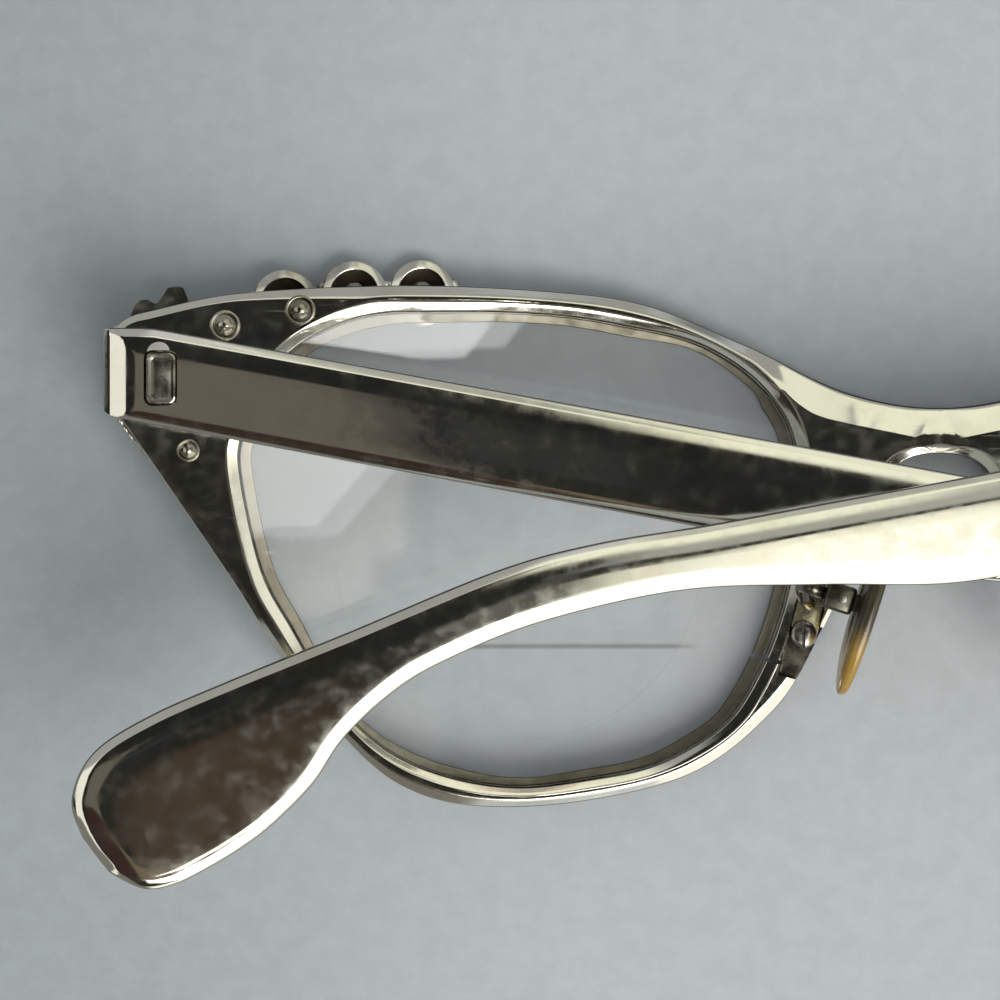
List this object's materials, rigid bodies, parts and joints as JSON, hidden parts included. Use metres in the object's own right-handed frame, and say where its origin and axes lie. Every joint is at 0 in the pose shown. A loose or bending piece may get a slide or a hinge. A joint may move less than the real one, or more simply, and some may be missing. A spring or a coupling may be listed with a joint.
{
  "type": "cat eye eyeglasses",
  "caption": "Cat eye eyeglasses with an aluminium front, flat folding temples, rocking nose pads and stone-set brow trim, lying face down and folded.",
  "frame": {"origin": "on the surface the glasses lie on, face down, below the middle of their box; the middle of the bridge is at X = 0 and the middles of the lenses at Y = 0 within a millimetre", "axes": "+X to the wearer's right along the front, +Y towards the brow, +Z away from the surface, from the lenses towards the folded temples"},
  "size_m": [0.1284, 0.0455, 0.026],
  "materials": {
    "frame_aluminium": "polished, anodised pale champagne",
    "temple_aluminium": "polished, finely scratched",
    "lens_glass": "clear, polished",
    "trim_metal": "struck and polished",
    "cut_stone": "clear, faceted, foiled behind",
    "rivet_metal": "polished, tarnished round the edge",
    "hinge_nickel": "nickel silver, dulled",
    "screw_steel": "turned, slotted",
    "arm_wire": "nickel silver wire, darkened",
    "pad_celluloid": "yellowed, translucent, glossy"
  },
  "bodies": {
    "front": {"front_frame": "frame_aluminium", "lens_left": "lens_glass", "lens_right": "lens_glass", "corner_trim_left": "trim_metal", "corner_trim_right": "trim_metal", "scallop_trim_left": "trim_metal", "scallop_trim_right": "trim_metal", "rhinestones_left": "cut_stone", "rhinestones_right": "cut_stone", "trim_rivets_left": "rivet_metal", "trim_rivets_right": "rivet_metal", "hinge_front_left": "hinge_nickel", "hinge_front_right": "hinge_nickel", "hinge_rivets_left": "rivet_metal", "hinge_rivets_right": "rivet_metal", "hinge_screw_left": "screw_steel", "hinge_screw_right": "screw_steel", "rim_lock_left": "hinge_nickel", "rim_lock_right": "hinge_nickel", "pad_arm_left": "arm_wire", "pad_arm_right": "arm_wire", "pad_arm_screw_left": "screw_steel", "pad_arm_screw_right": "screw_steel", "pad_pin_left": "screw_steel", "pad_pin_right": "screw_steel"},
    "temple_left_body": {"temple_left": "temple_aluminium", "hinge_temple_left": "hinge_nickel"},
    "temple_right_body": {"temple_right": "temple_aluminium", "hinge_temple_right": "hinge_nickel"},
    "pad_left_body": {"nose_pad_left": "pad_celluloid"},
    "pad_right_body": {"nose_pad_right": "pad_celluloid"}
  },
  "joints": [
    {"name": "temple_right_fold", "type": "hinge", "parent": "front", "child": "temple_right_body", "pos_m": [0.0593, 0.0132, 0.01012], "axis": [0, 1, 0], "range_deg": [0, 84]},
    {"name": "temple_left_fold", "type": "hinge", "parent": "front", "child": "temple_left_body", "pos_m": [-0.0593, 0.0132, 0.01012], "axis": [0, -1, 0], "range_deg": [0, 90]},
    {"name": "pad_left_rock", "type": "hinge", "parent": "front", "child": "pad_left_body", "pos_m": [-0.00815, -0.0036, 0.0074], "axis": [0, 0, 1], "range_deg": [-6, 6]},
    {"name": "pad_right_rock", "type": "hinge", "parent": "front", "child": "pad_right_body", "pos_m": [0.00815, -0.0036, 0.0074], "axis": [0, 0, 1], "range_deg": [-6, 6]}
  ],
  "couplings": [
    {"joint": "temple_left_fold", "follows": "temple_right_fold", "ratio": 0.5}
  ]
}
